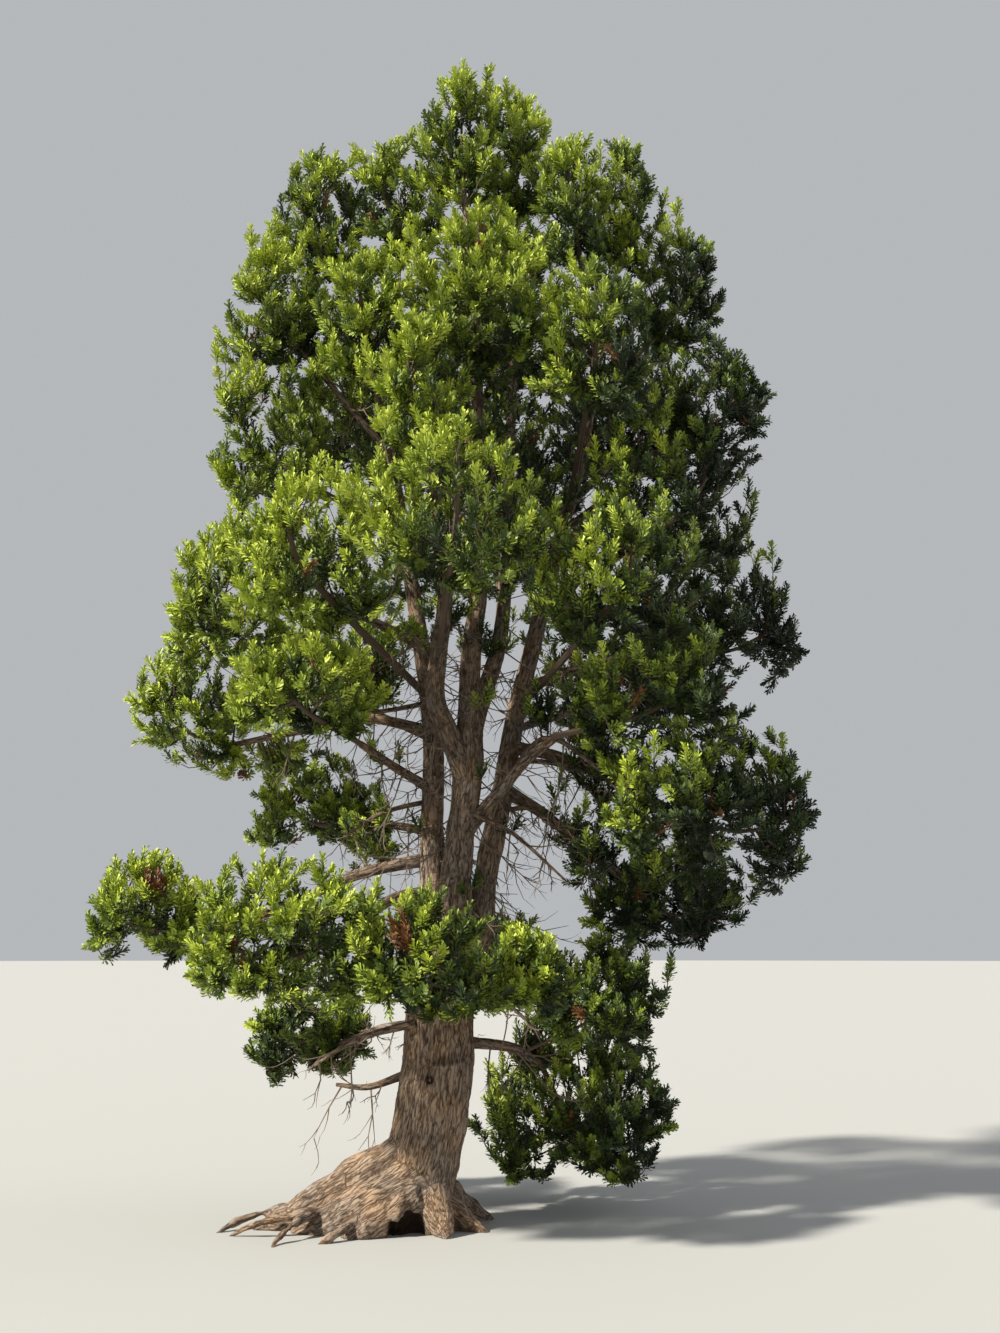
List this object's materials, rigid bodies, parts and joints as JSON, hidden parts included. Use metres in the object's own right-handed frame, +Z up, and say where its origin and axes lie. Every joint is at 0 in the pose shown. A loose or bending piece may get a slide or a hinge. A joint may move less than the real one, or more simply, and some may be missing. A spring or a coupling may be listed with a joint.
{
  "type": "pine tree",
  "caption": "Old stone pine rooted in level ground: a short thick trunk with a root flare that forks low into upright leaders, with boughs and open masses of needles all round.",
  "frame": {"origin": "middle of the flat cut under the trunk, at ground level", "axes": "+Z up along the trunk, +X to the right and -Y towards someone who looks at its front"},
  "size_m": [8.1521, 6.2029, 13.975],
  "materials": {
    "bark": "rough scaly bark",
    "limb_bark": "thinner flaking bark",
    "needles": "waxy green needles"
  },
  "bodies": {
    "root": {"back_left_mid": "needles", "back_left_upper": "needles", "back_mid": "needles", "back_right_mid": "needles", "back_right_upper": "needles", "back_top": "needles", "front_leader": "limb_bark", "front_mid": "needles", "front_top": "needles", "inner_leader": "limb_bark", "left_drop_bough": "limb_bark", "left_leader": "limb_bark", "left_low_bough": "limb_bark", "left_low_drop": "needles", "left_low_mid": "needles", "left_low_outer": "needles", "left_mid": "needles", "left_mid_bough": "limb_bark", "left_mid_limb": "limb_bark", "left_mid_outer": "needles", "left_shoulder": "needles", "left_shoulder_limb": "limb_bark", "left_top": "needles", "left_upper_outer": "needles", "low_back": "needles", "low_back_left": "needles", "low_front": "needles", "low_left": "needles", "low_left_bough": "limb_bark", "low_left_long_bough": "limb_bark", "low_left_tip": "needles", "low_left_under_bough": "limb_bark", "low_right_bough": "limb_bark", "low_right_front": "needles", "low_right_skirt": "needles", "low_right_top": "needles", "right_arm": "limb_bark", "right_front_top": "needles", "right_inner_low": "needles", "right_leader": "limb_bark", "right_low": "needles", "right_low_bough": "limb_bark", "right_low_drop": "needles", "right_low_long_bough": "limb_bark", "right_low_outer": "needles", "right_mid": "needles", "right_mid_limb": "limb_bark", "right_mid_low": "needles", "right_mid_outer": "needles", "right_outer": "needles", "right_outer_limb": "limb_bark", "right_shoulder": "needles", "right_tip": "needles", "right_top": "needles", "top_left": "needles", "top_main": "needles", "top_second": "needles", "trunk": "bark", "upper_centre": "needles", "upper_left": "needles"}
  },
  "joints": []
}
